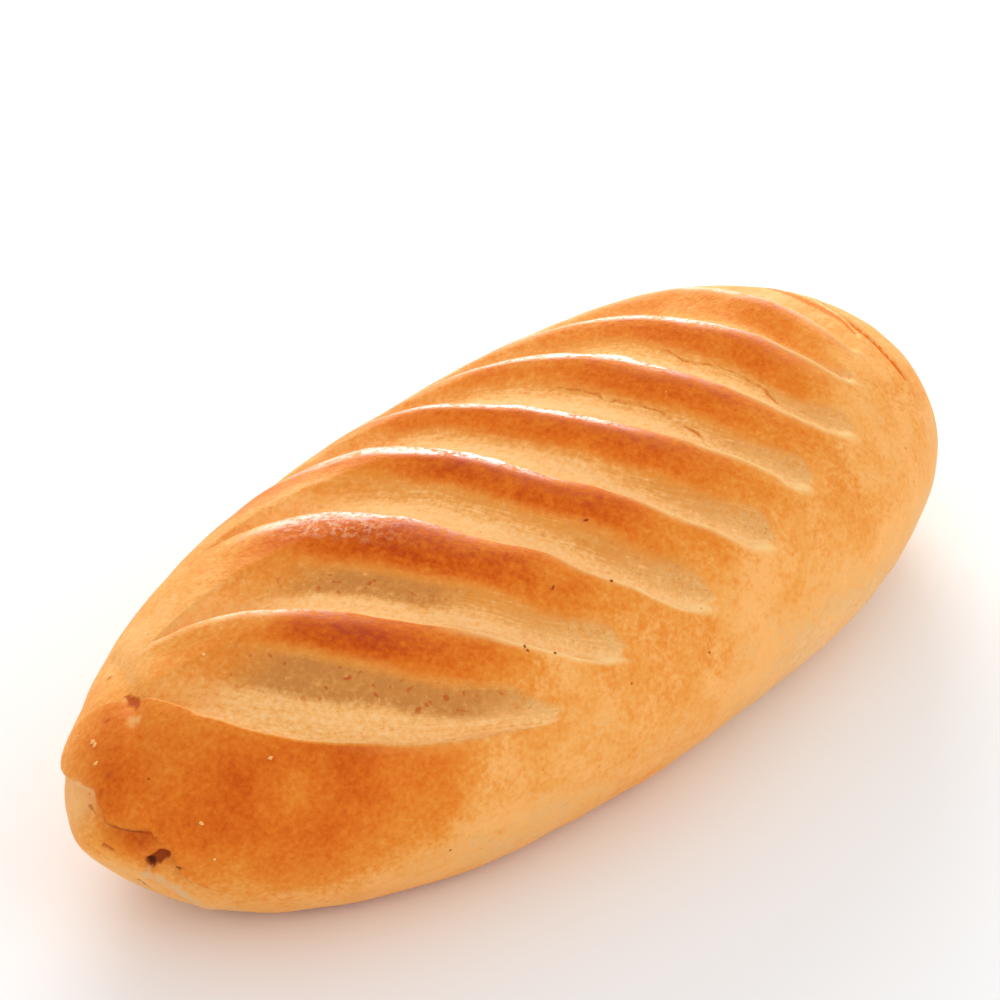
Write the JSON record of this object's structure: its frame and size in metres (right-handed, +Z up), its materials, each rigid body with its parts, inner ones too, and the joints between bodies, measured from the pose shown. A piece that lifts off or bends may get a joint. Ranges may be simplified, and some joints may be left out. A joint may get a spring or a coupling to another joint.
{
  "type": "vienna bread",
  "caption": "Whole uncut vienna loaf: plump long bread with slanting opened cuts across its browned top and a folded, torn seam at one end, lying on its flat underside.",
  "frame": {"origin": "middle of the flat underside, where the loaf's box meets the table", "axes": "+X along the loaf to the far plain end, with the folded end at -X; +Y across the loaf; +Z up"},
  "size_m": [0.2978, 0.1404, 0.0821],
  "materials": {
    "crust": "satin"
  },
  "bodies": {
    "root": {"loaf": "crust"}
  },
  "joints": []
}
